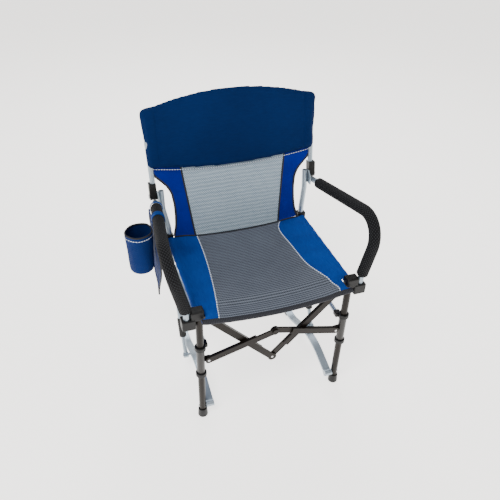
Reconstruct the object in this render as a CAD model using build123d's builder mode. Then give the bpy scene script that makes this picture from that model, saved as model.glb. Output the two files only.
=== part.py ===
"""Folding director's camp chair with sprung rockers: two side frames joined by two folding crosses.

Frame: x runs across the chair, -y is the front, +z is up.  The origin is on the floor, at the
centre of the chair's bounding box.  The cup pouch makes that box wider on the -x side, so the chair
is drawn about its own middle and moved by CENTRE_X when it is saved.  Every side part is drawn on
the +x side, and its twin on the -x side is its mirror image.  Lengths are in millimetres.
"""
import math
import os

from build123d import *

# ---- driving dimensions ---------------------------------------------------------------------
FRONT_Y = -218.0        # front legs
REAR_Y = FRONT_Y + 384  # rear corners of the seat frame
LEG_X = 236.0           # side frames, from the middle
LEG_R = 11.0
TUBE_WALL = 1.2
LEG_TOP = 436.0
RAIL_Z = 450.0          # seat rails
RAIL_R = 9.0
PIVOT_X = 212.0         # outer pivots of the crosses
BAR_WIDTH = 22.0
BAR_DEPTH = 11.0
HIGH_PIVOT_Z = 424.0    # long cross bars, outer end
LOW_HUB_Z = 193.0       # long cross bars, middle
SLIDER_Z = 258.0        # short cross bars, outer end
TOP_HUB_Z = 318.0       # short cross bars, middle
PIN_R = 4.0
RUNNING = 0.05          # radial clearance of a pin in its hole
LAYER_GAP = 0.5         # between bars that pass each other
EAR = 3.4               # thickness of a pivot ear
EAR_GAP = 0.3
EAR_R = 11.5
SLEEVE_HALF = 48.0      # half length of the sliding sleeves on the front legs
COLLAR = 16.0
STRETCHER_X = 220.0
STRETCHER_R = 7.0
ARM_X = 272.0           # arm tubes, rear end
ARM_R = 9.5
ARM_BEND = 82.0
GRIP_R = 18.0
HINGE_Y = FRONT_Y + 412
HINGE_Z = 604.0         # the back folds here
BACK_TOP = (FRONT_Y + 462, 862.0)      # (y, z) of the uprights' upper ends
UPRIGHT_R = 8.5
ROCK_Z = 46.0           # the base bars turn here, on the front legs
BASE_X = (199.0, 224.6)
BASE_THICK = 8.0
STRUT_X = 240.5
STRUT_FOOT = (FRONT_Y + 212, 62.0)     # (y, z) of the strut's lower pivot
STRUT_HEAD = (REAR_Y - 12, 414.0)      # (y, z) of the strut's upper pivot
FABRIC = 3.0
SEAT_SAG = 26.0
CENTRE_X = 32.4         # from the origin to the chair's own middle

os.makedirs("parts", exist_ok=True)


def save(name, part):
    """Write one finished sub-part under its node name."""
    solids = [solid.moved(Location((CENTRE_X, 0, 0))) for solid in part.solids()]
    placed = solids[0] if len(solids) == 1 else Compound(children=solids)
    placed.label = name
    export_step(placed, f"parts/{name}.step")


def save_pair(name, part):
    """Write a side part and its mirror image."""
    save(f"{name}_right", part)
    save(f"{name}_left", mirror(part, about=Plane.YZ))


def tube(points, radii, outer, inner):
    """A round tube along straight runs joined by tangent arcs."""
    with BuildPart() as swept:
        with BuildLine() as path:
            if radii:
                FilletPolyline(*points, radius=radii)
            else:
                Polyline(*points)
        with BuildSketch(path.line ^ 0):
            Circle(outer)
            if inner:
                Circle(inner, mode=Mode.SUBTRACT)
        sweep(path=path.line)
    return swept.part


def along(a, b, share):
    """The point at a share of the way from a to b."""
    return tuple(p + (q - p) * share for p, q in zip(a, b))


def ring_z(x, y, z0, z1, outer, inner=0.0, rim=0.0):
    """A vertical cylinder or ring, with its outer rims rounded."""
    with BuildPart() as ring:
        with BuildSketch(Plane.XY.offset(z0)):
            with Locations((x, y)):
                Circle(outer)
        extrude(amount=z1 - z0)
        if rim:
            fillet(ring.edges().filter_by(GeomType.CIRCLE), rim)
        if inner:
            with BuildSketch(Plane.XY.offset(z0)):
                with Locations((x, y)):
                    Circle(inner)
            extrude(amount=z1 - z0, mode=Mode.SUBTRACT)
    return ring.part


def block(x0, x1, y0, y1, z0, z1, rounding=0.0):
    """A box between two corners with rounded edges."""
    with BuildPart() as box:
        with BuildSketch(Plane.XY.offset(z0)):
            with Locations(((x0 + x1) / 2, (y0 + y1) / 2)):
                Rectangle(x1 - x0, y1 - y0)
        extrude(amount=z1 - z0)
        if rounding:
            fillet(box.edges(), rounding)
    return box.part


def disc_y(x, z, y0, y1, radius, hole=0.0, rim=0.0):
    """A round pin or washer with its axis along y."""
    with BuildPart() as disc:
        with BuildSketch(Plane.XZ.offset(-y1)):
            with Locations((x, z)):
                Circle(radius)
                if hole:
                    Circle(hole, mode=Mode.SUBTRACT)
        extrude(amount=y1 - y0)
        if rim:
            fillet(disc.edges().group_by(Axis.Y)[0], rim)
            fillet(disc.edges().group_by(Axis.Y)[-1], rim)
    return disc.part


def disc_x(y, z, x0, x1, radius, hole=0.0):
    """A round pin or washer with its axis along x."""
    with BuildPart() as disc:
        with BuildSketch(Plane.YZ.offset(x0)):
            with Locations((y, z)):
                Circle(radius)
                if hole:
                    Circle(hole, mode=Mode.SUBTRACT)
        extrude(amount=x1 - x0)
    return disc.part


def ear_y(outline, y0, y1, hole):
    """A flat pivot ear in an XZ plane: an outline joined to a round end about the cross pivot x."""
    x, z = hole
    with BuildPart() as ear:
        with BuildSketch(Plane.XZ.offset(-y1)):
            with BuildLine():
                Polyline(*outline, close=True)
            make_face()
            with Locations((x, z)):
                Circle(EAR_R)
                Circle(PIN_R, mode=Mode.SUBTRACT)
        extrude(amount=y1 - y0)
    return ear.part


def group(parts):
    """Separate solids kept together under one node."""
    return Compound(children=parts)


# ---- front legs and feet --------------------------------------------------------------------
FOOT_TOP = 34.0
FOOT_SOLE = 8.0
with BuildPart() as front_leg:
    with BuildSketch(Plane.XY.offset(FOOT_SOLE)):
        with Locations((LEG_X, FRONT_Y)):
            Circle(LEG_R)
            Circle(LEG_R - TUBE_WALL, mode=Mode.SUBTRACT)
    extrude(amount=LEG_TOP - FOOT_SOLE)
    with BuildSketch(Plane.YZ.offset(LEG_X - 2 * LEG_R)):
        with Locations((FRONT_Y, ROCK_Z)):
            Circle(PIN_R)
    extrude(amount=4 * LEG_R, mode=Mode.SUBTRACT)
save_pair("front_leg", front_leg.part)

with BuildPart() as front_foot:
    with BuildSketch(Plane.XY):
        with Locations((LEG_X, FRONT_Y)):
            Circle(16.5)
    extrude(amount=FOOT_TOP, taper=4)
    fillet(front_foot.edges().filter_by(GeomType.CIRCLE).sort_by(Axis.Z)[0], 3)
    fillet(front_foot.edges().filter_by(GeomType.CIRCLE).sort_by(Axis.Z)[-1], 1.5)
    with BuildSketch(Plane.XY.offset(FOOT_SOLE)):
        with Locations((LEG_X, FRONT_Y)):
            Circle(LEG_R)
    extrude(amount=FOOT_TOP, mode=Mode.SUBTRACT)
save_pair("front_foot", front_foot.part)

# ---- corner joints, seat rails and rear supports --------------------------------------------
CORNER_TOP = 470.0
CORNER_BACK = FRONT_Y + 16
ARM_SOCKET_TOP = 444.0  # the arm's socket hangs outside the leg
with BuildPart() as corner_joint:
    add(block(222, 262, FRONT_Y - 15, CORNER_BACK, LEG_TOP, CORNER_TOP, rounding=5))
    add(block(249, 288, FRONT_Y - 17, CORNER_BACK, ARM_SOCKET_TOP - 36, ARM_SOCKET_TOP, rounding=4))
save_pair("corner_joint", corner_joint.part)

BLOCK_X = (224.5, 252.0)
BLOCK_FRONT = REAR_Y - 12
rail = tube([(LEG_X, CORNER_BACK, RAIL_Z), (LEG_X, BLOCK_FRONT, RAIL_Z)], [], RAIL_R, RAIL_R - TUBE_WALL)
save_pair("seat_rail", rail)
save_pair("rear_corner", block(*BLOCK_X, BLOCK_FRONT, REAR_Y + 14, LEG_TOP, CORNER_TOP, rounding=4))

SUPPORT_X = 249.0
support_points = [(LEG_X + 1, REAR_Y + 1, CORNER_TOP), (LEG_X + 1, REAR_Y + 1, 490),
                  (SUPPORT_X, HINGE_Y - 12, 560), (SUPPORT_X, HINGE_Y - 4, 622)]
save_pair("rear_support", tube(support_points, [50, 60], RAIL_R, RAIL_R - TUBE_WALL))

# ---- arm tubes with foam grips --------------------------------------------------------------
ARM_FOOT = (272.0, FRONT_Y - 2, ARM_SOCKET_TOP)
ARM_KNEE = (272.0, FRONT_Y - 2, ARM_SOCKET_TOP + 22)
ARM_ELBOW = (316.0, FRONT_Y + 2, 656.0)
ARM_END = (ARM_X, HINGE_Y - 17, 590.0)
arm = tube([ARM_FOOT, ARM_KNEE, ARM_ELBOW, ARM_END], [60, ARM_BEND], ARM_R, ARM_R - TUBE_WALL)
save_pair("arm_tube", arm)
GRIP_START = 0.02
GRIP_END = 0.90
grip_points = [along(ARM_KNEE, ARM_ELBOW, GRIP_START), ARM_ELBOW, along(ARM_ELBOW, ARM_END, GRIP_END)]
save_pair("arm_grip", tube(grip_points, [ARM_BEND], GRIP_R, ARM_R + 0.3))

# ---- back hinges: plate on the frame, knuckle and upright on the back -----------------------
PLATE_X = (258.3, 262.3)
KNUCKLE_X = (262.8, 285.2)
PIN_HEAD = 3.0
with BuildPart() as hinge_plate:
    with BuildSketch(Plane.YZ.offset(PLATE_X[0])):
        with BuildLine():
            Polyline((HINGE_Y - 34, HINGE_Z - 26), (HINGE_Y + 6, HINGE_Z - 26), (HINGE_Y + 13, HINGE_Z - 4),
                     (HINGE_Y + 11, HINGE_Z + 12), (HINGE_Y - 12, HINGE_Z + 18), (HINGE_Y - 34, HINGE_Z - 2),
                     close=True)
        make_face()
        with Locations((HINGE_Y, HINGE_Z)):
            Circle(PIN_R, mode=Mode.SUBTRACT)
    extrude(amount=PLATE_X[1] - PLATE_X[0])
save_pair("hinge_plate", hinge_plate.part)

UPRIGHT_FOOT = (271.5, HINGE_Y + 9, HINGE_Z + 44)
UPRIGHT_HEAD = (274.5, BACK_TOP[0], BACK_TOP[1])
with BuildPart() as hinge_knuckle:
    with BuildSketch(Plane.YZ.offset(KNUCKLE_X[0])):
        with BuildLine():
            Polyline((HINGE_Y - 12, HINGE_Z + 2), (HINGE_Y + 12, HINGE_Z - 2), (HINGE_Y + 21, HINGE_Z + 41),
                     (HINGE_Y - 4, HINGE_Z + 44), close=True)
        make_face()
        with Locations((HINGE_Y, HINGE_Z)):
            Circle(12.5)
            Circle(PIN_R + RUNNING, mode=Mode.SUBTRACT)
    extrude(amount=KNUCKLE_X[1] - KNUCKLE_X[0])
    upright_way = Plane(origin=UPRIGHT_FOOT, z_dir=tuple(b - a for a, b in zip(UPRIGHT_FOOT, UPRIGHT_HEAD)))
    with BuildSketch(upright_way.offset(-14)):
        Circle(UPRIGHT_R)
    extrude(amount=60, mode=Mode.SUBTRACT)
save_pair("hinge_knuckle", hinge_knuckle.part)
hinge_pin = disc_x(HINGE_Y, HINGE_Z, PLATE_X[0], KNUCKLE_X[1] + 0.4, PIN_R)
hinge_head = disc_x(HINGE_Y, HINGE_Z, KNUCKLE_X[1] + 0.4, KNUCKLE_X[1] + 0.4 + PIN_HEAD, 7.0)
with BuildPart() as hinge_rivet:
    add(hinge_pin)
    add(hinge_head)
with BuildPart() as back_upright:
    with BuildSketch(upright_way.offset(-14)):
        Circle(UPRIGHT_R)
        Circle(UPRIGHT_R - TUBE_WALL, mode=Mode.SUBTRACT)
    extrude(amount=14 + math.dist(UPRIGHT_FOOT, UPRIGHT_HEAD))
save_pair("back_upright", back_upright.part)

# ---- brackets and pins for the long cross bars ----------------------------------------------
LONG_Y = FRONT_Y + 3.0           # the front long bars lie from here to LONG_Y + BAR_DEPTH
SHORT_Y = LONG_Y - LAYER_GAP - BAR_DEPTH
REAR_LONG_Y = REAR_Y - 9.0
REAR_SHORT_Y = REAR_LONG_Y + BAR_DEPTH + LAYER_GAP
HIGH_PIVOT = (PIVOT_X, HIGH_PIVOT_Z)


def fore_span(y):
    """The y range of an ear just in front of a bar that starts at y."""
    return y - EAR_GAP - EAR, y - EAR_GAP


def aft_span(y):
    """The y range of an ear just behind a bar that starts at y."""
    return y + BAR_DEPTH + EAR_GAP, y + BAR_DEPTH + EAR_GAP + EAR


def flag(reach, top):
    """An ear's outline: from the pivot out to x = reach and up to z = top."""
    return [(PIVOT_X, HIGH_PIVOT_Z - EAR_R), (reach, HIGH_PIVOT_Z - EAR_R), (reach, top), (PIVOT_X, top)]


LEG_REACH = 224.9
front_ears = [ear_y(flag(LEG_REACH, HIGH_PIVOT_Z + EAR_R), *fore_span(LONG_Y), HIGH_PIVOT),
              ear_y(flag(LEG_X + 8, HIGH_PIVOT_Z + EAR_R), *aft_span(LONG_Y), HIGH_PIVOT)]
rear_ears = [ear_y(flag(BLOCK_X[0], LEG_TOP + 8), *span(REAR_LONG_Y), HIGH_PIVOT)
             for span in (fore_span, aft_span)]
cross_pins = [disc_y(*HIGH_PIVOT, fore_span(y)[0], aft_span(y)[1], PIN_R) for y in (LONG_Y, REAR_LONG_Y)]

# ---- sliding sleeves with their collars, and the stretchers to the rear ---------------------
SLIDER_PIVOT = (PIVOT_X, SLIDER_Z)
SLEEVE_R = 12.4
SLEEVE_BORE = LEG_R + 0.3
SLEEVE_TOP = SLIDER_Z + SLEEVE_HALF
STRETCHER_Z = SLEEVE_TOP + 6
with BuildPart() as slider_sleeve:
    with BuildSketch(Plane.XY.offset(SLIDER_Z - SLEEVE_HALF)):
        with Locations((LEG_X, FRONT_Y)):
            Circle(SLEEVE_R)
    extrude(amount=2 * SLEEVE_HALF)
    with BuildSketch(Plane.XZ.offset(-aft_span(SHORT_Y)[1])):
        with Locations(SLIDER_PIVOT):
            Circle(EAR_R)
        with Locations(((PIVOT_X + LEG_X) / 2, SLIDER_Z)):
            Rectangle(LEG_X - PIVOT_X, 2 * EAR_R)
        with Locations(SLIDER_PIVOT):
            Circle(PIN_R, mode=Mode.SUBTRACT)
    extrude(amount=EAR)
    with BuildSketch(Plane.XY.offset(SLIDER_Z - SLEEVE_HALF)):
        with Locations((LEG_X, FRONT_Y)):
            Circle(SLEEVE_BORE)
    extrude(amount=2 * SLEEVE_HALF, mode=Mode.SUBTRACT)
save_pair("slider_sleeve", slider_sleeve.part)

low_collar = ring_z(LEG_X, FRONT_Y, SLIDER_Z - SLEEVE_HALF - COLLAR, SLIDER_Z - SLEEVE_HALF, 17, SLEEVE_BORE, rim=2.5)
SOCKET_END = FRONT_Y + 26
with BuildPart() as high_collar:
    add(ring_z(LEG_X, FRONT_Y, SLEEVE_TOP, SLEEVE_TOP + COLLAR, 17, 0, rim=2.5))
    add(block(211, 231, FRONT_Y + 4, SOCKET_END, SLEEVE_TOP - 2, SLEEVE_TOP + COLLAR - 2, rounding=3))
    with BuildSketch(Plane.XY.offset(SLEEVE_TOP - 4)):
        with Locations((LEG_X, FRONT_Y)):
            Circle(SLEEVE_R + 0.02)
    extrude(amount=4, mode=Mode.SUBTRACT)
    with BuildSketch(Plane.XY.offset(SLEEVE_TOP)):
        with Locations((LEG_X, FRONT_Y)):
            Circle(SLEEVE_BORE)
    extrude(amount=COLLAR, mode=Mode.SUBTRACT)
save_pair("slider_collars", group([low_collar, high_collar.part]))

STRETCHER_END = aft_span(REAR_SHORT_Y)[0]
stretcher = tube([(STRETCHER_X, SOCKET_END, STRETCHER_Z), (STRETCHER_X, STRETCHER_END, STRETCHER_Z)], [],
                 STRETCHER_R, STRETCHER_R - TUBE_WALL)
drop_outline = [(PIVOT_X - 9, SLIDER_Z), (PIVOT_X + 9, SLIDER_Z), (STRETCHER_X + 8, STRETCHER_Z + 8),
                (STRETCHER_X - 8, STRETCHER_Z + 8)]
stretcher_drop = ear_y(drop_outline, *aft_span(REAR_SHORT_Y), SLIDER_PIVOT)
save_pair("side_stretcher", group([stretcher, stretcher_drop]))
slider_pins = [disc_y(*SLIDER_PIVOT, SHORT_Y - 0.4, aft_span(SHORT_Y)[1], PIN_R),
               disc_y(*SLIDER_PIVOT, REAR_SHORT_Y - 0.4, aft_span(REAR_SHORT_Y)[1], PIN_R)]
save_pair("slider_pins", group(slider_pins))

# ---- cross bars -----------------------------------------------------------------------------
HUB_R = 14.0
HUB_NECK = 62.0         # from the hub's axis to the full depth of a long bar
TIP_NECK = 60.0         # the short bars' ends are halved this far, so that they pass each other


def cross_bar(outer, inner_z, y, lap_y, neck, bore):
    """A bar from its outer pivot to the middle, where only the half between lap_y goes on."""
    x, z = outer
    length = math.hypot(x, z - inner_z)
    ux, uz = -x / length, (inner_z - z) / length
    full = length - neck
    plane = Plane(origin=(x, y + BAR_DEPTH, z), x_dir=(ux, 0, uz), z_dir=(0, -1, 0))
    lap_plane = Plane(origin=(x, lap_y[1], z), x_dir=(ux, 0, uz), z_dir=(0, -1, 0))
    with BuildPart() as bar:
        with BuildSketch(plane):
            Circle(BAR_WIDTH / 2)
            with Locations((full / 2, 0)):
                Rectangle(full, BAR_WIDTH)
        extrude(amount=BAR_DEPTH)
        with BuildSketch(lap_plane):
            with Locations(((full + length) / 2 - 2, 0)):
                Rectangle(neck + 4, BAR_WIDTH)
            with Locations((length, 0)):
                Circle(HUB_R)
        extrude(amount=lap_y[1] - lap_y[0])
        with BuildSketch(plane):
            Circle(PIN_R + RUNNING)
            if bore:
                with Locations((length, 0)):
                    Circle(bore)
        extrude(amount=BAR_DEPTH, mode=Mode.SUBTRACT)
    return bar.part


def halves(y):
    """The front and rear halves of a bar's depth, a gap apart."""
    middle = y + BAR_DEPTH / 2
    return (y, middle - LAYER_GAP / 2), (middle + LAYER_GAP / 2, y + BAR_DEPTH)


# A rivet head on the outer face of each pair of short bars: the pair's joint itself stays open.
TIP_CAPS = {"left": disc_y(0, TOP_HUB_Z, SHORT_Y - 4, SHORT_Y, 10, rim=1.2),
            "right": disc_y(0, TOP_HUB_Z, REAR_SHORT_Y + BAR_DEPTH, REAR_SHORT_Y + BAR_DEPTH + 4, 10, rim=1.2)}
for side, half in (("left", 0), ("right", 1)):
    long_bars = [cross_bar(HIGH_PIVOT, LOW_HUB_Z, y, halves(y)[half], HUB_NECK, PIN_R + RUNNING * half)
                 for y in (LONG_Y, REAR_LONG_Y)]
    short_bars = [cross_bar(SLIDER_PIVOT, TOP_HUB_Z, y, halves(y)[half], TIP_NECK, 0)
                  for y in (SHORT_Y, REAR_SHORT_Y)]
    if side == "left":
        long_bars = [mirror(bar, about=Plane.YZ) for bar in long_bars]
        short_bars = [mirror(bar, about=Plane.YZ) for bar in short_bars]
    save(f"long_cross_bars_{side}", group(long_bars))
    save(f"short_cross_bars_{side}", group(short_bars + [TIP_CAPS[side]]))

hub_pins = []
for y in (LONG_Y, REAR_LONG_Y):
    with BuildPart() as hub_pin:
        add(disc_y(0, LOW_HUB_Z, y, y + BAR_DEPTH + 0.2, PIN_R))
        add(disc_y(0, LOW_HUB_Z, y + BAR_DEPTH + 0.2, y + BAR_DEPTH + 3, 8, rim=1))
    hub_pins.append(hub_pin.part)
save("low_hub_pins", group(hub_pins))

# ---- rocker: base bars, their feet and the sprung struts ------------------------------------
BASE_END = FRONT_Y + 378
BASE_FLAT_Z = 16.0
with BuildPart() as base_bar:
    with BuildLine(Plane.YZ.offset(sum(BASE_X) / 2)) as base_line:
        FilletPolyline((FRONT_Y + 8, ROCK_Z + 2.5), (FRONT_Y + 140, 90), (FRONT_Y + 318, BASE_FLAT_Z),
                       (BASE_END, BASE_FLAT_Z), radius=[200, 120])
    with BuildSketch(base_line.line ^ 0):
        Rectangle(BASE_THICK, BASE_X[1] - BASE_X[0])
    sweep(path=base_line.line)
    with BuildSketch(Plane.YZ.offset(BASE_X[0])):
        with Locations((FRONT_Y, ROCK_Z)):
            Circle(11)
    extrude(amount=BASE_X[1] - BASE_X[0])
    with BuildSketch(Plane.YZ.offset(BASE_X[0])):
        with Locations((FRONT_Y, ROCK_Z)):
            Circle(PIN_R + RUNNING)
    extrude(amount=BASE_X[1] - BASE_X[0], mode=Mode.SUBTRACT)
EYE_HALF = 8.5           # half width of the struts' eyes
strut_foot_pin = disc_x(*STRUT_FOOT, BASE_X[1], STRUT_X + EYE_HALF + 2, PIN_R)
save_pair("base_bar", group([base_bar.part, strut_foot_pin]))
BASE_SOLE = BASE_FLAT_Z - BASE_THICK / 2
save_pair("base_foot", block(*BASE_X, BASE_END - 30, BASE_END + 2, 0, BASE_SOLE, rounding=2.5))
rock_pin = disc_x(FRONT_Y, ROCK_Z, BASE_X[0], LEG_X + LEG_R + 2, PIN_R)

strut_length = math.dist(STRUT_HEAD, STRUT_FOOT)
strut_dir = (0, (STRUT_FOOT[0] - STRUT_HEAD[0]) / strut_length, (STRUT_FOOT[1] - STRUT_HEAD[1]) / strut_length)
strut_plane = Plane(origin=(STRUT_X, *STRUT_HEAD), x_dir=(1, 0, 0), z_dir=strut_dir)
STRUT_TUBE_R = 8.6
STRUT_BORE = 7.4
ROD_R = 7.0
SLEEVE_SPAN = (248.0, 316.0)     # the rubber sleeve, measured down the strut
ROD_TOP = 200.0


def eye(y, z, hole):
    """A round eye at one end of the strut."""
    return disc_x(y, z, STRUT_X - EYE_HALF, STRUT_X + EYE_HALF, 10, hole)


with BuildPart() as strut_tube:
    with BuildSketch(strut_plane.offset(7)):
        Circle(STRUT_TUBE_R)
    extrude(amount=SLEEVE_SPAN[1] - 4 - 7)
    add(eye(*STRUT_HEAD, 0))
    with BuildSketch(strut_plane.offset(40)):
        Circle(STRUT_BORE)
    extrude(amount=SLEEVE_SPAN[1], mode=Mode.SUBTRACT)
    with BuildSketch(Plane.YZ.offset(STRUT_X - EYE_HALF)):
        with Locations(STRUT_HEAD):
            Circle(PIN_R + RUNNING)
    extrude(amount=2 * EYE_HALF, mode=Mode.SUBTRACT)
save_pair("strut_tube", strut_tube.part)

with BuildPart() as strut_sleeve:
    with BuildSketch(strut_plane.offset(SLEEVE_SPAN[0])):
        Circle(12)
    extrude(amount=SLEEVE_SPAN[1] - SLEEVE_SPAN[0])
    fillet(strut_sleeve.edges().filter_by(GeomType.CIRCLE), 2)
    with BuildSketch(strut_plane.offset(SLEEVE_SPAN[0])):
        Circle(STRUT_TUBE_R)
    extrude(amount=SLEEVE_SPAN[1] - 4 - SLEEVE_SPAN[0], mode=Mode.SUBTRACT)
    with BuildSketch(strut_plane.offset(SLEEVE_SPAN[0])):
        Circle(ROD_R + 0.4)
    extrude(amount=SLEEVE_SPAN[1] - SLEEVE_SPAN[0], mode=Mode.SUBTRACT)
save_pair("strut_sleeve", strut_sleeve.part)

with BuildPart() as strut_rod:
    with BuildSketch(strut_plane.offset(ROD_TOP)):
        Circle(ROD_R)
    extrude(amount=strut_length - 8 - ROD_TOP)
    add(eye(*STRUT_FOOT, 0))
    with BuildSketch(Plane.YZ.offset(STRUT_X - EYE_HALF)):
        with Locations(STRUT_FOOT):
            Circle(PIN_R + 0.9)
    extrude(amount=2 * EYE_HALF, mode=Mode.SUBTRACT)
save_pair("strut_rod", strut_rod.part)

SPRING_COILS = 12
SPRING_SPAN = (46.0, 196.0)
WIRE_R = 1.3
COIL_R = 5.6
SPRING_LENGTH = SPRING_SPAN[1] - SPRING_SPAN[0]
with BuildPart() as strut_spring:
    with BuildLine() as coil:
        Helix(pitch=SPRING_LENGTH / SPRING_COILS, height=SPRING_LENGTH, radius=COIL_R)
    with BuildSketch(coil.line ^ 0):
        Circle(WIRE_R)
    sweep(path=coil.line, is_frenet=True)
save_pair("strut_spring", strut_plane.offset(SPRING_SPAN[0]).location * strut_spring.part)

STRUT_PLATES = ((STRUT_X - EYE_HALF - 0.3 - EAR, STRUT_X - EYE_HALF - 0.3),
                (STRUT_X + EYE_HALF + 0.3, STRUT_X + EYE_HALF + 0.3 + EAR))
head_plates = []
for x0, x1 in STRUT_PLATES:
    with BuildPart() as head_plate:
        with BuildSketch(Plane.YZ.offset(x0)):
            with Locations(STRUT_HEAD):
                Circle(10)
            with Locations((STRUT_HEAD[0] + 4, (STRUT_HEAD[1] + LEG_TOP) / 2)):
                Rectangle(20, LEG_TOP - STRUT_HEAD[1])
            with Locations(STRUT_HEAD):
                Circle(PIN_R, mode=Mode.SUBTRACT)
        extrude(amount=x1 - x0)
    head_plates.append(head_plate.part)
save_pair("frame_brackets", group(front_ears + rear_ears + head_plates))
strut_head_pin = disc_x(*STRUT_HEAD, STRUT_PLATES[0][0], STRUT_PLATES[1][1], PIN_R)
save_pair("frame_pins", group(cross_pins + [hinge_rivet.part, rock_pin, strut_head_pin]))

# ---- fabric: seat, back, sleeves and the cup pouch ------------------------------------------
SEAT_FRONT = FRONT_Y - 32
SEAT_EDGE = 220.0
with BuildPart() as seat_panel:
    with BuildSketch(Plane.XZ.offset(-(BLOCK_FRONT - 3))):
        with BuildLine():
            ThreePointArc((-SEAT_EDGE, RAIL_Z), (0, RAIL_Z - SEAT_SAG), (SEAT_EDGE, RAIL_Z))
            Line((SEAT_EDGE, RAIL_Z), (SEAT_EDGE, RAIL_Z - FABRIC))
            ThreePointArc((SEAT_EDGE, RAIL_Z - FABRIC), (0, RAIL_Z - SEAT_SAG - FABRIC), (-SEAT_EDGE, RAIL_Z - FABRIC))
            Line((-SEAT_EDGE, RAIL_Z - FABRIC), (-SEAT_EDGE, RAIL_Z))
        make_face()
    extrude(amount=BLOCK_FRONT - 3 - SEAT_FRONT)
save("seat_panel", seat_panel.part)
rail_sleeve = tube([(LEG_X, CORNER_BACK + 1, RAIL_Z), (LEG_X, BLOCK_FRONT - 1, RAIL_Z)], [], RAIL_R + 2.6, RAIL_R + 0.3)
save_pair("rail_sleeve", rail_sleeve)

back_plane = Plane(origin=(0, HINGE_Y, HINGE_Z), x_dir=(1, 0, 0),
                   z_dir=(0, -(BACK_TOP[1] - HINGE_Z), BACK_TOP[0] - HINGE_Y))


def back_sheet(right_edge, depth):
    """A flat sheet in the leaning plane of the back, symmetric about the middle, points (x, up)."""
    outline = list(right_edge) + [(-x, up) for x, up in reversed(right_edge)]
    with BuildPart() as sheet:
        with BuildSketch(back_plane):
            with BuildLine():
                Polyline(*outline, close=True)
            make_face()
        extrude(amount=depth)
    return sheet.part


BACK_DROP = HINGE_Z - RAIL_Z - 6
save("back_lower_panel", back_sheet([(222, -BACK_DROP), (212, -100), (211, -50), (216, 0)], FABRIC))
save("back_upper_panel", back_sheet([(216, 0.4), (232, 30), (254, 56), (260, 76)], FABRIC))
HEAD_DEPTH = 13.0
head_plane_lift = 9.5
with BuildPart() as head_panel:
    with BuildSketch(back_plane.offset(head_plane_lift)):
        with BuildLine():
            ThreePointArc((-280, 92), (0, 78), (280, 92))
            Line((280, 92), (288, 268))
            ThreePointArc((288, 268), (0, 322), (-288, 268))
            Line((-288, 268), (-280, 92))
        make_face()
    extrude(amount=HEAD_DEPTH)
save("head_panel", head_panel.part)

POUCH = (-344.0, FRONT_Y + 318, 398.0)
POUCH_R = 46.0
POUCH_DEPTH = 150.0
with BuildPart() as cup_pouch:
    with BuildSketch(Plane.XY.offset(POUCH[2])):
        with Locations(POUCH[:2]):
            Circle(POUCH_R - 6)
    with BuildSketch(Plane.XY.offset(POUCH[2] + POUCH_DEPTH)):
        with Locations(POUCH[:2]):
            Circle(POUCH_R)
    loft()
    with BuildSketch(Plane.XY.offset(POUCH[2] + FABRIC)):
        with Locations(POUCH[:2]):
            Circle(POUCH_R - 6 - FABRIC)
    with BuildSketch(Plane.XY.offset(POUCH[2] + POUCH_DEPTH)):
        with Locations(POUCH[:2]):
            Circle(POUCH_R - FABRIC)
    loft(mode=Mode.SUBTRACT)
save("cup_pouch", cup_pouch.part)
POCKET_X = -297.0
with BuildPart() as arm_pocket:
    with BuildSketch(Plane.YZ.offset(POCKET_X)):
        with BuildLine():
            Polyline((POUCH[1] - 70, 578), (POUCH[1] + 62, 572), (POUCH[1] + 62, 420), (POUCH[1] + 30, 248),
                     (POUCH[1] - 52, 420), close=True)
        make_face()
    extrude(amount=FABRIC)
save("arm_pocket", arm_pocket.part)
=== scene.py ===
"""Folding rocking camp chair, put together in the order in which it is built up.

Everything is in metres: x runs across the chair, -y is the front and +z is up.
"""

import bpy
import numpy as np
from mathutils import Matrix, Vector


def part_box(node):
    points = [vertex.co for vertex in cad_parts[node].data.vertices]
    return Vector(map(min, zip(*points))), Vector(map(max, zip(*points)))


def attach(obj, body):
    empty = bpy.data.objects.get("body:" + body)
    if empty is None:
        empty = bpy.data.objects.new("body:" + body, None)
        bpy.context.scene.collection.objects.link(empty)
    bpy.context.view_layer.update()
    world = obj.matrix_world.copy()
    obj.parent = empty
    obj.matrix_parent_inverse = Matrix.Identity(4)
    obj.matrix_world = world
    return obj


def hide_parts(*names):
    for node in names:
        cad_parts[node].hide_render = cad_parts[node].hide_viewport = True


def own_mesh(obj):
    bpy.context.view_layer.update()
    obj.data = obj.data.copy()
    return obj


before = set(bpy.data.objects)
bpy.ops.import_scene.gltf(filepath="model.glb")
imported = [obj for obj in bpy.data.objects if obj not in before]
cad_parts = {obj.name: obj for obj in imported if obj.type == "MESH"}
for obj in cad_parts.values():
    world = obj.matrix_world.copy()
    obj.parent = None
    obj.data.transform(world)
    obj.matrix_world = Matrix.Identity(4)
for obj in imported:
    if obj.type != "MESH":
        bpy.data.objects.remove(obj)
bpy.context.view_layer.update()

# ---- Front legs and cross bars -----------------------------------------------------------------
# Drawn steel tube for the legs and flattened tube for the bars, powder coated in silver-grey.
# Their dark brown is painted shade and a painted reflection of warm brown surroundings.
# The coat is satin, with a fine grain, and it is rubbed thin where the bars pass each other.


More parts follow.
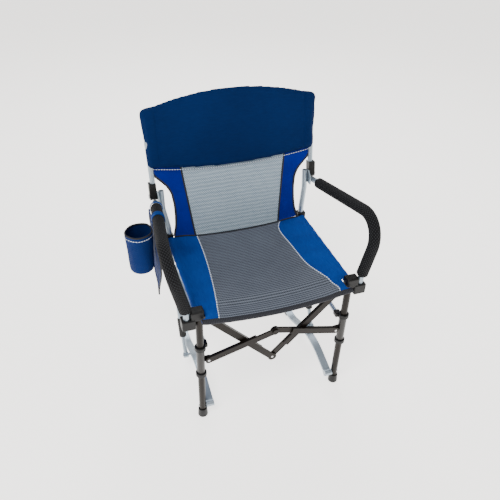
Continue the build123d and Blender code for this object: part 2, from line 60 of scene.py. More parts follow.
class Wire:
    """A shader socket that adds its own nodes: + - * on values become Math nodes."""

    def __init__(self, tree, socket):
        self.tree = tree
        self.socket = socket

    def put(self, kind, settings=(), inputs=(), take=0):
        """Adds a node of a kind, sets its settings, fills its sockets, and gives one output."""
        node = self.tree.nodes.new(kind)
        for key, value in dict(settings).items():
            setattr(node, key, value)
        for key, value in dict(inputs).items():
            fill(self.tree, node.inputs[key], value)
        return Wire(self.tree, node.outputs[take])

    def maths(self, operation, *values):
        return self.put("ShaderNodeMath", {"operation": operation}, dict(enumerate(values)))

    def __add__(self, other):
        return self.maths("ADD", self, other)

    def __radd__(self, other):
        return self.maths("ADD", other, self)

    def __sub__(self, other):
        return self.maths("SUBTRACT", self, other)

    def __rsub__(self, other):
        return self.maths("SUBTRACT", other, self)

    def __mul__(self, other):
        return self.maths("MULTIPLY", self, other)

    def __rmul__(self, other):
        return self.maths("MULTIPLY", other, self)

    def wave(self, length):
        """0 to 1 and back as a sine, once in each length."""
        return self.maths("SINE", self * (2 * np.pi / length)) * 0.5 + 0.5

    def step(self, low, high):
        """0 below low, 1 above high, smooth between."""
        return self.put("ShaderNodeMapRange", {"interpolation_type": "SMOOTHSTEP"},
                        {"Value": self, "From Min": low, "From Max": high})

    def mix(self, a, b):
        """Colour a where this is 0 and colour b where it is 1."""
        return self.put("ShaderNodeMix", {"data_type": "RGBA"}, {0: self, 6: a, 7: b}, take=2)

    def noise(self, scale, detail=3.0, stretch=(1, 1, 1)):
        """Noise of 0 to 1 at this position, with scale features to the metre."""
        spread = self.put("ShaderNodeVectorMath", {"operation": "MULTIPLY"}, {0: self, 1: stretch})
        return spread.put("ShaderNodeTexNoise", {}, {"Vector": spread, "Scale": scale, "Detail": detail})

    def part(self, axis):
        """One coordinate of this vector."""
        return self.put("ShaderNodeSeparateXYZ", {}, {0: self}, take="XYZ".index(axis))

    def bump(self, strength, distance):
        """A normal from this height."""
        return self.put("ShaderNodeBump", {}, {"Height": self, "Strength": strength, "Distance": distance})


def fill(tree, socket, value):
    """Links a wire to a socket, or sets the socket's own value."""
    if isinstance(value, Wire):
        tree.links.new(value.socket, socket)
    elif hasattr(value, "__len__") and len(value) == 3 and socket.type == "RGBA":
        socket.default_value = (*value, 1)
    else:
        socket.default_value = value


def finish_named(name, recipe):
    """A new material: recipe(object position, uv position) gives the Principled sockets."""
    material = bpy.data.materials.new(name)
    material.use_nodes = True
    tree = material.node_tree
    shader = tree.nodes["Principled BSDF"]
    where = tree.nodes.new("ShaderNodeTexCoord")
    place = Wire(tree, where.outputs["Object"])
    cloth = Wire(tree, where.outputs["UV"])
    for key, value in recipe(place, cloth).items():
        fill(tree, shader.inputs[key], value)
    return material


def dress(material, *names):
    """Gives CAD nodes a material; a name that ends in _ stands for its left and right twins."""
    for name in names:
        for node in [name + side for side in ("left", "right")] if name.endswith("_") else [name]:
            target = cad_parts[node]
            for holder in target.material_slots:
                holder.material = material
            if not target.material_slots:
                target.data.materials.append(material)


def brown_shade_reflection_recipe(place, cloth):
    grain = place.noise(900, 2)
    cloud = place.noise(14, 4)
    worn = place.noise(60, 5, (1, 1, 0.25)).step(0.62, 0.74)
    # These browns are painted shade and a painted reflection of warm surroundings on silver-grey tube.
    base = cloud.mix((0.0045, 0.0030, 0.0020), (0.0110, 0.0075, 0.0052))
    return {"Base Color": (worn * 0.25).mix(base, (0.060, 0.045, 0.034)), "Metallic": 0.30,
            "Specular IOR Level": 0.22, "Roughness": 0.34 + grain * 0.10 + worn * 0.10,
            "Normal": grain.bump(0.12, 0.0003)}


brown_shade_reflection = finish_named("painted_brown_shade_and_reflection", brown_shade_reflection_recipe)
dress(brown_shade_reflection, "front_leg_", "long_cross_bars_", "short_cross_bars_")

# ---- Silver tubes -------------------------------------------------------------------------------
# Seat rails, rear supports, stretchers, arms, rocker bars and struts: aluminium tube and steel
# strip with a silver-grey satin finish, brushed along its length; its pale blue tint is a
# painted reflection of bright window light.


def silver_recipe(place, cloth):
    fine = place.noise(420, 3, (1, 0.06, 1))
    cloud = place.noise(20, 3)
    scuff = place.noise(150, 5, (1, 0.3, 0.3)).step(0.66, 0.76)
    # Silver-grey metal, tinted blue as a painted reflection of window light.
    base = cloud.mix((0.27, 0.33, 0.38), (0.37, 0.43, 0.49))
    return {"Base Color": (scuff * 0.5).mix(base, (0.30, 0.33, 0.37)), "Metallic": 0.72,
            "Roughness": 0.30 + fine * 0.14 + scuff * 0.12, "Normal": fine.bump(0.10, 0.0002)}


silver = finish_named("satin_silver", silver_recipe)
dress(silver, "seat_rail_", "rear_support_", "side_stretcher_", "arm_tube_", "base_bar_",
      "strut_tube_", "strut_rod_", "back_upright_", "hinge_plate_")

# ---- Moulded plastic and black steel ------------------------------------------------------------
# Corner joints, collars, feet and hinge knuckles are injection-moulded black nylon with a fine
# spark texture; the pivot ears and the sliding sleeves are black painted steel.


def nylon_recipe(place, cloth):
    spark = place.noise(1500, 2)
    dust = place.noise(35, 4).step(0.50, 0.75)
    return {"Base Color": dust.mix((0.0030, 0.0030, 0.0033), (0.0085, 0.0085, 0.009)),
            "Specular IOR Level": 0.25, "Roughness": 0.38 + spark * 0.18,
            "Normal": spark.bump(0.30, 0.0004)}


nylon = finish_named("black_nylon", nylon_recipe)
dress(nylon, "corner_joint_", "rear_corner_", "slider_collars_", "front_foot_", "base_foot_",
      "hinge_knuckle_")


def black_steel_recipe(place, cloth):
    peel = place.noise(300, 2)
    return {"Base Color": peel.mix((0.006, 0.0052, 0.005), (0.012, 0.010, 0.009)), "Metallic": 0.2,
            "Roughness": 0.30 + peel * 0.12, "Normal": peel.bump(0.10, 0.0003)}


black_steel = finish_named("black_painted_steel", black_steel_recipe)
dress(black_steel, "frame_brackets_", "slider_sleeve_")

# ---- Rivets, springs and rubber sleeves ---------------------------------------------------------
# Zinc-plated steel rivets and spring wire, and a soft black rubber sleeve at the foot of each strut.


def zinc_recipe(place, cloth):
    brushed = place.noise(700, 3, (1, 0.2, 1))
    return {"Base Color": brushed.mix((0.42, 0.42, 0.43), (0.62, 0.62, 0.62)), "Metallic": 0.9,
            "Roughness": 0.26 + brushed * 0.16}


zinc = finish_named("zinc_plate", zinc_recipe)
dress(zinc, "frame_pins_", "slider_pins_", "low_hub_pins", "strut_spring_")


def rubber_recipe(place, cloth):
    bloom = place.noise(90, 4)
    rings = place.part("Z").wave(0.006)
    return {"Base Color": bloom.mix((0.003, 0.003, 0.003), (0.009, 0.009, 0.009)),
            "Roughness": 0.62 + bloom * 0.2, "Normal": rings.bump(0.5, 0.0008)}


dress(finish_named("black_rubber", rubber_recipe), "strut_sleeve_")

# ---- Armrest foam -------------------------------------------------------------------------------
# A thick foam sleeve under a braided black and grey cover runs from the front of each arm, round
# the bend, nearly to the hinge.  It is drawn over the tube and its ends are tucked in round it.
MID = (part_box("front_leg_left")[0][0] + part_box("front_leg_right")[1][0]) / 2
FRONT = (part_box("front_leg_left")[0][1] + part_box("front_leg_left")[1][1]) / 2
HINGE_Y = FRONT + 0.412
HINGE_Z = 0.604
SIDES = (("left", -1), ("right", 1))
# The arm's centre line, as (distance out from the middle, y, z), and the radii of its two bends.
ARM_CORNERS = ((0.272, FRONT - 0.002, 0.444), (0.272, FRONT - 0.002, 0.466),
               (0.316, FRONT + 0.002, 0.656), (0.272, HINGE_Y - 0.017, 0.590))
ARM_BENDS = (0.060, 0.082)
FOAM_RADIUS = 0.0179
FOAM_ROUNDING = 0.009
PATH_STEP = 0.004


def rounded(points, radii, step=PATH_STEP):
    """Straight runs joined by tangent arcs, as points about a step apart.

    At a corner the arc starts radius * tan(turn / 2) before it, and swings through the turn.
    """
    points = [np.array(p, float) for p in points]
    out = [points[0]]
    for before, corner, after, radius in zip(points, points[1:], points[2:], radii):
        a = (before - corner) / np.linalg.norm(before - corner)
        b = (after - corner) / np.linalg.norm(after - corner)
        turn = np.pi - np.arccos(np.clip(a @ b, -1, 1))
        reach = radius * np.tan(turn / 2)
        middle = corner + (a + b) / np.linalg.norm(a + b) * radius / np.cos(turn / 2)
        inward = corner + a * reach - middle
        swing = np.linspace(0, turn, max(4, int(radius * turn / step)))[:, None]
        out.extend(middle + inward * np.cos(swing) - a * radius * np.sin(swing))
    out.append(points[-1])
    path = np.array(out)
    gone = np.r_[0, np.cumsum(np.linalg.norm(np.diff(path, axis=0), axis=1))]
    even = np.linspace(0, gone[-1], max(4, int(gone[-1] / step)))
    return np.stack([np.interp(even, gone, path[:, k]) for k in range(3)], 1)


def surface(name, grid, uv, material, ring=False, ends=False):
    """A mesh over a grid of points: rows run along the piece and columns across or round it.

    With ring the last column joins the first, and with ends the first and last rows are closed.
    """
    rows, columns = grid.shape[:2]
    ids = np.arange(rows * columns).reshape(rows, columns)
    wide = np.c_[ids, ids[:, :1]] if ring else ids

    def quads(a):
        return np.stack([a[:-1, :-1], a[:-1, 1:], a[1:, 1:], a[1:, :-1]], -1).reshape(-1, 4)

    faces = quads(wide).tolist()
    uv_ids = np.arange(uv.shape[0] * uv.shape[1]).reshape(uv.shape[:2])
    loops = quads(uv_ids).reshape(-1)
    if ends:
        faces += [ids[0][::-1].tolist(), ids[-1].tolist()]
        loops = np.r_[loops, uv_ids[0, :columns][::-1], uv_ids[-1, :columns]]
    mesh = bpy.data.meshes.new(name)
    mesh.from_pydata(grid.reshape(-1, 3).tolist(), [], faces)
    layer = mesh.uv_layers.new(name="cloth")
    layer.data.foreach_set("uv", uv.reshape(-1, 2)[loops].astype(np.float32).reshape(-1))
    mesh.polygons.foreach_set("use_smooth", np.ones(len(faces), bool))
    mesh.materials.append(material)
    piece = bpy.data.objects.new(name, mesh)
    bpy.context.scene.collection.objects.link(piece)
    return piece


def frames(path, across):
    """Unit vectors along a path, and two across it; the first leans towards the vector across."""
    along = np.gradient(path, axis=0)
    along /= np.linalg.norm(along, axis=1)[:, None]
    first = across - (along @ across)[:, None] * along
    first /= np.linalg.norm(first, axis=1)[:, None]
    return along, first, np.cross(along, first)


def hose(name, path, radius, material, across=(1, 0, 0), sides=24, flat=1.0, ends=True):
    """A round or flattened section carried along a path, closed at both ends unless told not to.

    Point = path + radius * (first * cos(angle) + flat * second * sin(angle)); radius may vary.
    """
    along, first, second = frames(path, np.array(across, float))
    angle = np.linspace(0, 2 * np.pi, sides, endpoint=False)
    radius = np.broadcast_to(radius, len(path))[:, None, None]
    grid = path[:, None] + radius * (first[:, None] * np.cos(angle)[:, None]
                                     + flat * second[:, None] * np.sin(angle)[:, None])
    gone = np.r_[0, np.cumsum(np.linalg.norm(np.diff(path, axis=0), axis=1))]
    uv = np.stack(np.meshgrid(gone, np.linspace(0, 1, sides + 1), indexing="ij"), -1)
    return surface(name, grid, uv, material, ring=True, ends=ends)


def braid_recipe(place, cloth):
    run = cloth.part("X")
    turn = cloth.part("Y") * 0.113
    one = (run + turn).wave(0.0087)
    other = (run - turn).wave(0.0087)
    diamond = (one * other).step(0.10, 0.55)
    fibre = place.noise(1400, 2)
    lit = place.noise(22, 3)
    dark = lit.mix((0.0015, 0.0015, 0.002), (0.004, 0.004, 0.005))
    pale = fibre.mix((0.012, 0.013, 0.015), (0.034, 0.036, 0.040))
    return {"Base Color": diamond.mix(dark, pale), "Roughness": 0.78 + fibre * 0.15,
            "Sheen Weight": 0.02, "Sheen Roughness": 0.5, "Specular IOR Level": 0.15,
            "Normal": (diamond + fibre * 0.3).bump(0.9, 0.0018)}


braid = finish_named("braided_foam_cover", braid_recipe)
arm_paths = {}
for side, way in SIDES:
    whole = rounded([(MID + way * x, y, z) for x, y, z in ARM_CORNERS], ARM_BENDS)
    low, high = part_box(f"arm_grip_{side}")
    start = int(np.argmin(np.abs(whole[:60, 2] - (low[2] + 0.004))))
    end = int(np.argmin(np.abs(whole[:, 1] - (high[1] - 0.003))))
    path = whole[start:end + 1]
    arm_paths[side] = path
    share = np.linspace(0, 1, len(path))
    reach = np.minimum(share, 1 - share) * len(path) * PATH_STEP
    bulge = 1 - (1 - np.clip(reach / FOAM_ROUNDING, 0, 1)) ** 2
    swell = FOAM_RADIUS * np.clip(bulge, 0.30, 1) ** 0.5
    grip = hose(f"arm_foam_{side}", path, swell, braid, sides=36)
    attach(grip, f"frame_{side}")
    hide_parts(f"arm_grip_{side}")

# ---- Seat ---------------------------------------------------------------------------------------
# A sheet of blue polyester slung between the rails, with a mesh panel down its middle.  White
# piping covers the two long seams, and the front edge is a dark folded hem with stitched rows.
RAIL_X = 0.236
RAIL_Z = 0.450
SEAT_Y = (FRONT - 0.032, FRONT + 0.371)
SEAT_SAG = 0.025
# The thickness of the cloth.
CLOTH = 0.0014
PIPING_LEFT = ((-0.036, -0.185), (0.080, -0.167), (0.210, -0.152), (0.362, -0.146))
PIPING_RIGHT = ((-0.036, 0.191), (0.030, 0.186), (0.085, 0.163), (0.160, 0.147), (0.265, 0.139),
                (0.362, 0.147))


def knots(y, table):
    """A smooth curve through a table of (y, x): the one polynomial that meets all its points."""
    where, value = np.array(table, float).T
    return np.polyval(np.polyfit(where, value, len(where) - 1), y)


def smooth(value, low, high):
    """0 below low and 1 above high, with a smooth step 3t^2 - 2t^3 between."""
    t = np.clip((value - low) / (high - low), 0, 1)
    return t * t * (3 - 2 * t)


def seat_edge(y):
    """Half the seat's width: it is notched beside the front corner joints and wider ahead of them."""
    front = 0.0150 * smooth(-y, -(FRONT - 0.016), -(FRONT - 0.021))
    return 0.2195 + front + 0.0125 * smooth(y, FRONT + 0.014, FRONT + 0.045)


def seat_height(x, y):
    """A parabola across the chair that sags 25 mm, with shallow pulls running in from the rails."""
    edge = seat_edge(y)
    inside = np.clip(np.abs(x) / edge, 0, 1)
    top = 0.4478 + 0.0125 * smooth(y, FRONT + 0.014, FRONT + 0.045)
    along = (y - SEAT_Y[0]) / 0.403
    sag = SEAT_SAG * (1 - inside ** 2.2) * (0.75 + 0.25 * np.sin(np.pi * along))
    far = np.abs(x)
    fold = 0.0016 * np.sin(70 * y + 25 * far + 0.8 * np.sign(x)) * smooth(inside, 0.55, 0.85)
    ripple = 0.0012 * np.sin(31 * y - 60 * far + 1.3) * smooth(inside, 0.60, 0.80)
    droop = 0.007 * smooth(-y, -(SEAT_Y[0] + 0.030), -SEAT_Y[0]) * (1 - 0.5 * inside)
    return top - sag - droop + (fold + ripple) * (1 - smooth(inside, 0.93, 1.0))


def piping_x(way, y):
    """Where the seam between mesh and blue lies: each side wanders in its own way."""
    return knots(y - FRONT, PIPING_LEFT if way < 0 else PIPING_RIGHT)


def thicken(piece, thickness=CLOTH, offset=0):
    """Gives a sheet its thickness, spread both ways from its surface unless offset says otherwise."""
    wall = piece.modifiers.new("cloth_thickness", "SOLIDIFY")
    wall.thickness = thickness
    wall.offset = offset


def flat_size(grid):
    """Mean length across and mean length along a grid of points, as if the cloth were laid flat."""
    across = np.linalg.norm(np.diff(grid, axis=1), axis=2).sum(1)
    along = np.linalg.norm(np.diff(grid, axis=0), axis=2).sum(0)
    return float(np.mean(across)), float(np.mean(along))


def seat_strip(name, from_x, to_x, material, across=40):
    """Seat cloth between two lines x(y): x = from + share * (to - from), z from seat_height."""
    y = np.linspace(*SEAT_Y, 110)
    start, stop = from_x(y), to_x(y)
    x = start[:, None] + (stop - start)[:, None] * np.linspace(0, 1, across)
    yy = np.repeat(y[:, None], across, 1)
    grid = np.stack([x + MID, yy, seat_height(x, yy)], -1)
    piece = surface(name, grid[::-1], np.stack([x, yy], -1)[::-1], material)
    thicken(piece)
    return piece, flat_size(grid)


def on_seat(piece):
    """Puts a piece of seat cloth on the seat_fabric body, with a mesh of its own."""
    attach(piece, "seat_fabric")
    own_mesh(piece)


def blue_cloth(dark, pale, thread=0.0011):
    """A recipe for plain-woven polyester of two blues, with slubs and a soft sheen."""
    def recipe(place, cloth):
        weft = cloth.part("X").wave(thread)
        warp = cloth.part("Y").wave(thread)
        weave = weft * warp
        cloud = place.noise(9, 3)
        slub = place.noise(260, 3, (1, 0.15, 1))
        fade = (cloud * 0.6 + slub * 0.4).step(0.20, 0.80)
        return {"Base Color": fade.mix(dark, pale), "Roughness": 0.70 + weave * 0.12,
                "Sheen Weight": 0.02, "Sheen Roughness": 0.4, "Sheen Tint": (0.3, 0.5, 1.0, 1.0),
                "Specular IOR Level": 0.10, "Normal": (weave + slub * 0.4).bump(0.6, 0.0008)}
    return recipe


def seat_mesh_recipe(place, cloth):
    drift = place.noise(30, 2) * 0.0015
    row = (cloth.part("Y") + drift).wave(0.0078)
    column = (cloth.part("X") + drift).wave(0.0052)
    hole = (row * column).step(0.22, 0.55)
    ridge = column.step(0.55, 0.95) * (1 - hole)
    cloud = place.noise(16, 4)
    thread = cloud.mix((0.060, 0.072, 0.100), (0.100, 0.120, 0.160))
    # The rib crests are real; their lighter colour is a painted highlight.
    lit = ridge.mix(thread, (0.185, 0.215, 0.27))
    # The holes are painted near-black as painted shade seen through the open mesh.
    return {"Base Color": hole.mix(lit, (0.004, 0.006, 0.010)), "Roughness": 0.62 + hole * 0.2,
            "Sheen Weight": 0.05, "Normal": (1 - hole + ridge * 0.4).bump(0.9, 0.0014)}


seat_blue = finish_named("seat_blue_polyester",
                         blue_cloth((0.0003, 0.028, 0.190), (0.001, 0.055, 0.310)))
seat_mesh = finish_named("seat_mesh", seat_mesh_recipe)
seat_pieces = [
    ("seat_cloth_left", lambda y: -seat_edge(y), lambda y: piping_x(-1, y), seat_blue, 24),
    ("seat_cloth_middle", lambda y: piping_x(-1, y), lambda y: piping_x(1, y), seat_mesh, 60),
    ("seat_cloth_right", lambda y: piping_x(1, y), seat_edge, seat_blue, 24)]
for number, (name, start, stop, material, across) in enumerate(seat_pieces):
    strip, flat = seat_strip(name, start, stop, material, across)
    if number == 0:
        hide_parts("seat_panel")
    on_seat(strip)


def stitched(thread, ground, pitch, share=0.55):
    """A recipe for dashes of thread, one in each pitch, along a binding; share is their cover."""
    def recipe(place, cloth):
        dash = cloth.part("X").wave(pitch).step(0.4, 0.6) * share
        fibre = place.noise(1200, 2)
        return {"Base Color": dash.mix(ground, thread), "Roughness": 0.72 + fibre * 0.15,
                "Normal": (dash + fibre * 0.4).bump(0.6, 0.0006)}
    return recipe


PIPING_PITCH = 0.0085
white_piping = finish_named("white_piping",
                            stitched((0.85, 0.88, 0.92), (0.18, 0.26, 0.42), PIPING_PITCH, 1.0))
for side, way in SIDES:
    y = np.linspace(SEAT_Y[0] + 0.001, SEAT_Y[1] - 0.001, 150)
    x = piping_x(way, y)
    line = np.stack([x + MID, y, seat_height(x, y) + 0.0010], 1)
    piping = hose(f"seat_piping_{side}", line, 0.0016, white_piping, sides=10)
    on_seat(piping)

# The hem is folded round the front edge: (height above the cloth, distance behind its front edge).
HEM_FOLD = ((0.0028, 0.010), (0.0024, 0.000), (-0.0008, -0.003), (-0.0040, -0.002), (-0.0044, 0.012))
HEM_HALF = 0.2340
hem_cloth = finish_named("dark_hem",
                         stitched((0.030, 0.032, 0.045), (0.004, 0.0045, 0.008), 0.005))
x = np.linspace(-1, 1, 120) * HEM_HALF
hem_rows = []
for above, behind in HEM_FOLD:
    y = np.full_like(x, SEAT_Y[0] + behind)
    cloth_y = np.full_like(x, SEAT_Y[0] + max(behind, 0))
    hem_rows.append(np.stack([x + MID, y, seat_height(x, cloth_y) + above], 1))
hem_grid = np.stack(hem_rows)
hem_uv = np.stack(np.meshgrid(x, np.linspace(0, 0.02, len(HEM_FOLD)), indexing="xy"), -1)
hem = surface("seat_front_hem", hem_grid[::-1], hem_uv[::-1], hem_cloth)
thicken(hem, 0.0016)
on_seat(hem)

# ---- Rail sleeves -------------------------------------------------------------------------------
# The edges of the seat cloth are sewn into sleeves that the rails slide through.  Each is slightly
# crushed, with small gathers across it, and a row of stitches along its inner side.
for side, way in SIDES:
    low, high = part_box(f"rail_sleeve_{side}")
    y = np.linspace(low[1], high[1], 90)
    line = np.stack([np.full_like(y, MID + way * RAIL_X), y, np.full_like(y, RAIL_Z)], 1)
    gather = 0.0118 + 0.0004 * np.sin(95 * y + way) + 0.0003 * np.sin(173 * y)
    sleeve = hose(f"rail_cloth_{side}", line, gather, seat_blue, sides=28, ends=False)
    thicken(sleeve, offset=-1)
    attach(sleeve, f"frame_{side}")
    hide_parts(f"rail_sleeve_{side}")

# ---- Back ---------------------------------------------------------------------------------------
# Pale grey mesh in the middle and royal blue cloth at the sides, with black binding over the seams
# and round the side cut-outs.  The cloth is in two pieces that meet on the line of the hinges.
LEAN = np.array([0, 0.050, 0.258]) / np.hypot(0.050, 0.258)
OUT = np.array([0, -LEAN[2], LEAN[1]])
# Half the back's width at heights measured up the lean from the hinges, and where the cloth ends.
BACK_WIDTHS = ((-0.170, 0.226), (-0.150, 0.2235), (-0.115, 0.2135), (-0.080, 0.2105),
               (-0.040, 0.2105), (0.000, 0.2155), (0.026, 0.228), (0.046, 0.246), (0.064, 0.264),
               (0.085, 0.276), (0.110, 0.279))
BACK_CLOTH_TOP = 0.104


def back_point(x, up, proud=0.0):
    """A point of the leaning back plane; below the hinges it turns down to the seat's rear edge."""
    low = 0.5 * (1 - np.tanh((up + 0.140) / 0.022))
    bow = -0.004 * np.clip(1 - (x / 0.25) ** 2, 0, 1) * smooth(up, -0.13, 0.02)
    plane = np.array([MID, HINGE_Y, HINGE_Z]) + up[..., None] * LEAN + (proud + bow)[..., None] * OUT
    plane[..., 0] += x
    return plane - np.array([0, 1, 0]) * (0.0035 * low)[..., None]


def seam_up(x):
    """How far below the hinges the back meets the sagging seat."""
    return (seat_height(x, np.full_like(x, SEAT_Y[1])) - HINGE_Z) / LEAN[2]


def back_edge(up):
    """Half the back's width: it draws in above the seat and flares to the head panel.

    The table's straight runs are averaged under a raised cosine, which rounds their corners.
    """
    table = np.array(BACK_WIDTHS)
    dense = np.linspace(-0.175, 0.115, 400)
    value = np.interp(dense, table[:, 0], table[:, 1])
    weight = np.hanning(41)
    value = np.convolve(np.pad(value, 20, mode="edge"), weight / weight.sum(), mode="valid")
    return np.interp(up, dense, value)


def back_seam(up):
    """Half the width of the mesh: it widens evenly upwards."""
    return 0.147 + 0.029 * np.clip((up + 0.180) / 0.255, 0, 1.3)


def back_strip(name, from_x, to_x, span, material, across):
    """Back cloth between two lines x(up) and over a span of up; None starts it at the seat."""
    share = np.linspace(0, 1, 70)[:, None]
    between = np.linspace(0, 1, across)[None]
    near_seat = np.full((1, across), -0.15)
    middle = from_x(near_seat) * (1 - between) + to_x(near_seat) * between
    lowest = seam_up(middle) if span[0] is None else np.full((1, across), span[0])
    up = lowest + (span[1] - lowest) * share
    x = from_x(up) * (1 - between) + to_x(up) * between
    wrinkle = 0.0012 * np.sin(48 * up + 22 * x) * smooth(np.abs(x), 0.15, 0.19)
    grid = back_point(x, up, wrinkle)
    piece = surface(name, grid, np.stack([x, up], -1), material)
    thicken(piece)
    return piece, flat_size(grid)


def on_back(piece, upper):
    """Puts the lower part on the seat_fabric body and the upper one on the back_fabric body, each with a
    mesh of its own.
    """
    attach(piece, "back_fabric" if upper else "seat_fabric")
    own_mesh(piece)


def back_mesh_recipe(place, cloth):
    x = cloth.part("X")
    up = cloth.part("Y")
    drift = place.noise(40, 2) * 0.004
    one = (x + up * 0.9 + drift).wave(0.0068)
    other = (x - up * 0.9 + drift).wave(0.0068)
    hole = (one * other).step(0.25, 0.70)
    band = (up + drift * 2).wave(0.013)
    cloud = place.noise(13, 4)
    thread = cloud.mix((0.23, 0.31, 0.38), (0.32, 0.41, 0.49))
    # The bands are real ribs; their lighter colour is a painted highlight.
    lit = (band * 0.45).mix(thread, (0.50, 0.60, 0.68))
    # The holes are painted dark as painted shade seen through the open mesh.
    return {"Base Color": hole.mix(lit, (0.045, 0.065, 0.090)), "Roughness": 0.62 + hole * 0.2,
            "Sheen Weight": 0.05, "Normal": (1 - hole + band * 0.5).bump(0.9, 0.0014)}


back_blue = finish_named("back_royal_blue",
                         blue_cloth((0.0003, 0.006, 0.150), (0.0005, 0.013, 0.260)))
back_mesh = finish_named("back_mesh", back_mesh_recipe)
binding = finish_named("black_binding",
                       stitched((0.014, 0.016, 0.026), (0.003, 0.0035, 0.006), 0.004))
back_strips = [("left", lambda up: -back_edge(up), lambda up: -back_seam(up), back_blue, 20),
               ("middle", lambda up: -back_seam(up), back_seam, back_mesh, 60),
               ("right", back_seam, back_edge, back_blue, 20)]
back_lines = [("seam", back_seam, 0.0030, 0, 0.15), ("edge", back_edge, 0.0036, 0.002, 0.22)]
for part, span, upper in (("lower", (None, 0.0), False), ("upper", (0.0, BACK_CLOTH_TOP), True)):
    for where, start, stop, material, across in back_strips:
        strip, flat = back_strip(f"back_cloth_{part}_{where}", start, stop, span, material, across)
        if where == "middle":
            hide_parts(f"back_{part}_panel")
        on_back(strip, upper)
    for side, way in SIDES:
        for kind, line_x, thick, inset, seat_x in back_lines:
            lowest = float(seam_up(np.array([way * seat_x]))[0]) if span[0] is None else span[0]
            up = np.linspace(lowest, span[1], 60)
            line = back_point(way * (line_x(up) - inset), up, np.full_like(up, 0.001))
            tape = hose(f"back_{kind}_{part}_{side}", line, thick, binding, sides=12, flat=0.45)
            on_back(tape, upper)

# The seat and the back are sewn together along the rear edge, under a narrow dark tape.
REAR_TAPE_HALF = 0.2225
x = np.linspace(-1, 1, 120) * REAR_TAPE_HALF
line = np.stack([x + MID, np.full_like(x, SEAT_Y[1] + 0.002),
                 seat_height(x, np.full_like(x, SEAT_Y[1])) + 0.0015], 1)
tape = hose("rear_seam_tape", line, 0.0034, binding, across=(0, 0, 1), sides=12, flat=0.7)
on_seat(tape)

# ---- Head panel ---------------------------------------------------------------------------------
# A lightly padded navy band across the top of the back.  Sleeves at its two ends slip over the
# uprights, its top edge is arched, and a thin white cord is sewn under its lower edge.
HEAD_HALF = 0.284
HEAD_LOOPS_HALF = 0.2815
HEAD_CORD_HALF = 0.274


def head_limits(x):
    """Lower and upper edge of the band at x, measured up from the hinges."""
    share = np.clip(np.abs(x) / HEAD_HALF, 0, 1)
    low = 0.067 + 0.026 * share ** 2
    high = 0.3195 - 0.049 * share ** 2.1
    return low, high


def head_grid(rows=90, columns=56):
    """Closed loops across the band: a rounded rectangle, superellipse |cos|^0.28, |sin|^0.6.

    In the middle it lies in front of the back plane; at the ends it swells round the uprights.
    """
    s = np.linspace(-1, 1, rows)[:, None]
    x = HEAD_LOOPS_HALF * s
    low, high = head_limits(x)
    pinch = np.clip(1 - (np.abs(s) - 0.965) / 0.035, 0, 1) ** 0.5
    angle = np.linspace(0, 2 * np.pi, columns, endpoint=False)[None]
    c, d = np.cos(angle), np.sin(angle)
    half = (high - low) / 2 * (0.90 + 0.10 * pinch)
    up = (low + high) / 2 + half * np.sign(c) * np.abs(c) ** 0.28
    round_post = smooth(np.abs(x), 0.225, 0.258)
    centre = 0.0055 * (1 - round_post) + 0.0005 * round_post
    thick = (0.0050 * (1 - round_post) + 0.0115 * round_post) * (0.25 + 0.75 * pinch)
    depth = centre + thick * np.sign(d) * np.abs(d) ** 0.6
    tilt = 0.008 * (up - 0.09) / 0.2 * np.sign(x) * smooth(np.abs(x), 0.1, 0.28)
    grid = back_point(x + tilt + 0 * up, up, depth)
    return grid, np.stack([x + 0 * up, up + 0 * x], -1)


def refine(piece):
    """Smooths a piece by one level of subdivision."""
    finer = piece.modifiers.new("finer", "SUBSURF")
    finer.levels = 1
    finer.render_levels = 1


def positions(mesh):
    """The vertices of a mesh, as rows of x, y and z."""
    flat = np.empty(len(mesh.vertices) * 3)
    mesh.vertices.foreach_get("co", flat)
    return flat.reshape(-1, 3)


def as_made(piece):
    """A new mesh of a piece with its modifiers applied."""
    return bpy.data.meshes.new_from_object(piece.evaluated_get(bpy.context.evaluated_depsgraph_get()))


def puffed(piece, pressure, cap, size, frames_run=20):
    """Fills a closed shape like a cushion: even remesh, cloth under pressure, movement capped.

    It gives the filled points: point + shift * min(1, cap / length of shift).
    """
    bpy.context.view_layer.objects.active = piece
    remesh = piece.modifiers.new("even", "REMESH")
    remesh.mode = "VOXEL"
    remesh.voxel_size = size
    remesh.use_smooth_shade = True
    bpy.context.view_layer.update()
    ready = as_made(piece)
    ready.materials.clear()
    ready.materials.append(piece.data.materials[0])
    piece.modifiers.clear()
    piece.data = ready
    points = positions(ready)
    cloth = piece.modifiers.new("filling", "CLOTH")
    cloth.settings.quality = 5
    cloth.settings.mass = 0.3
    cloth.settings.use_pressure = True
    cloth.settings.uniform_pressure_force = pressure
    cloth.settings.effector_weights.gravity = 0
    scene = bpy.context.scene
    for number in range(1, frames_run + 1):
        scene.frame_set(number)
    moved = as_made(piece)
    shift = positions(moved) - points
    piece.modifiers.clear()
    scene.frame_set(1)
    length = np.linalg.norm(shift, axis=1)[:, None]
    points = points + shift * np.minimum(1, cap / np.maximum(length, 1e-9))
    bpy.data.meshes.remove(moved)
    return points


def head_recipe(place, cloth):
    weft = place.part("X").wave(0.0012)
    warp = place.part("Z").wave(0.0012)
    weave = weft * warp
    cloud = place.noise(4, 2)
    slub = place.noise(300, 3, (0.2, 1, 1))
    fade = (cloud * 0.6 + slub * 0.4).step(0.1, 0.9)
    base = fade.mix((0.0002, 0.0080, 0.046), (0.0004, 0.0150, 0.080))
    return {"Base Color": base, "Roughness": 0.74 + weave * 0.12, "Sheen Weight": 0.02,
            "Sheen Roughness": 0.4, "Sheen Tint": (0.3, 0.5, 1.0, 1.0), "Specular IOR Level": 0.08,
            "Normal": (weave + slub * 0.5).bump(0.6, 0.0008)}


